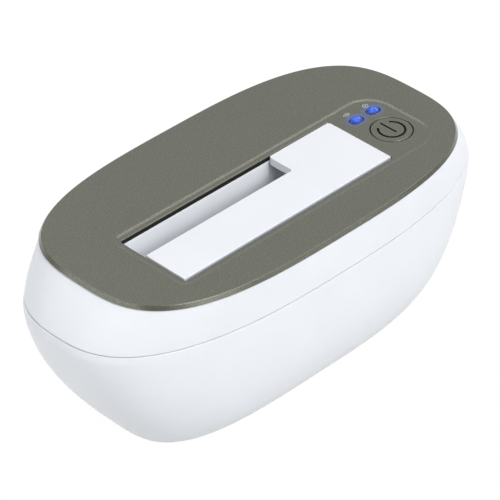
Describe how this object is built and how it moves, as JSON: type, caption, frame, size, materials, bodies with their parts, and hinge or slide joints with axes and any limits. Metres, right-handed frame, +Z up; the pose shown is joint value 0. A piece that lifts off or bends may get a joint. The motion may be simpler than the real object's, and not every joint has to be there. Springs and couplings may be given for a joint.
{
  "type": "hard drive docking station",
  "caption": "Boat-shaped desktop docking station with a painted top panel, a drive bay under a sprung L-shaped flap, a round power button, indicator lenses and rear sockets.",
  "frame": {"origin": "under the middle of the body, on the surface that the feet stand on", "axes": "+X along the body to the end with the power button, +Y to the rear with the sockets, +Z up"},
  "size_m": [0.1922, 0.09, 0.073],
  "materials": {
    "white_shell": "satin white moulding",
    "white_liner": "matt white moulding",
    "white_flap": "fine matt white moulding",
    "panel_paint": "satin taupe paint with fine metal flake",
    "button_paint": "satin taupe paint with fine metal flake",
    "blue_lens": "clear blue light guide",
    "steel": "plain",
    "gilt_contacts": "bright",
    "circuit_board": "solder mask",
    "black_plastic": "moulded",
    "ferrite": "dull",
    "flat_cable": "flat film",
    "light_chip": "clear resin",
    "foot_rubber": "matt"
  },
  "bodies": {
    "housing": {"lower_shell": "white_shell", "upper_shell": "white_shell", "top_panel": "panel_paint", "bay_liner": "white_liner", "flap_pin": "steel", "flap_spring": "steel", "main_board": "circuit_board", "sata_connector": "black_plastic", "sata_contacts": "gilt_contacts", "bridge_chip": "black_plastic", "wifi_module": "circuit_board", "wifi_shield": "steel", "capacitors": "black_plastic", "power_inductor": "ferrite", "clock_crystal": "steel", "power_jack": "black_plastic", "power_jack_pin": "steel", "usb_port_shell": "steel", "usb_port_tongue": "white_liner", "lan_jack": "black_plastic", "lan_contacts": "gilt_contacts", "main_header": "white_liner", "control_header": "white_liner", "control_cable": "flat_cable", "control_board": "circuit_board", "tact_switch": "black_plastic", "led_lens_network": "blue_lens", "led_lens_drive": "blue_lens", "led_chips": "light_chip", "case_screws": "steel", "board_screws": "steel", "control_screws": "steel", "bay_screws": "steel", "rubber_feet": "foot_rubber"},
    "flap": {"drive_flap": "white_flap"},
    "button": {"power_button": "button_paint", "switch_plunger": "ferrite"}
  },
  "joints": [
    {"name": "flap_hinge", "type": "hinge", "parent": "housing", "child": "flap", "pos_m": [-0.0068, -0.02455, 0.0688], "axis": [-1, 0, 0], "range_deg": [0, 90], "stiffness_Nm_per_rad": 0.02, "springref_deg": -28.65, "deforming": ["flap_spring"]},
    {"name": "power_press", "type": "slide", "parent": "housing", "child": "button", "axis": [0, 0, -1], "range_m": [0, 0.0006], "stiffness_N_per_m": 200, "springref_m": -0.002}
  ]
}
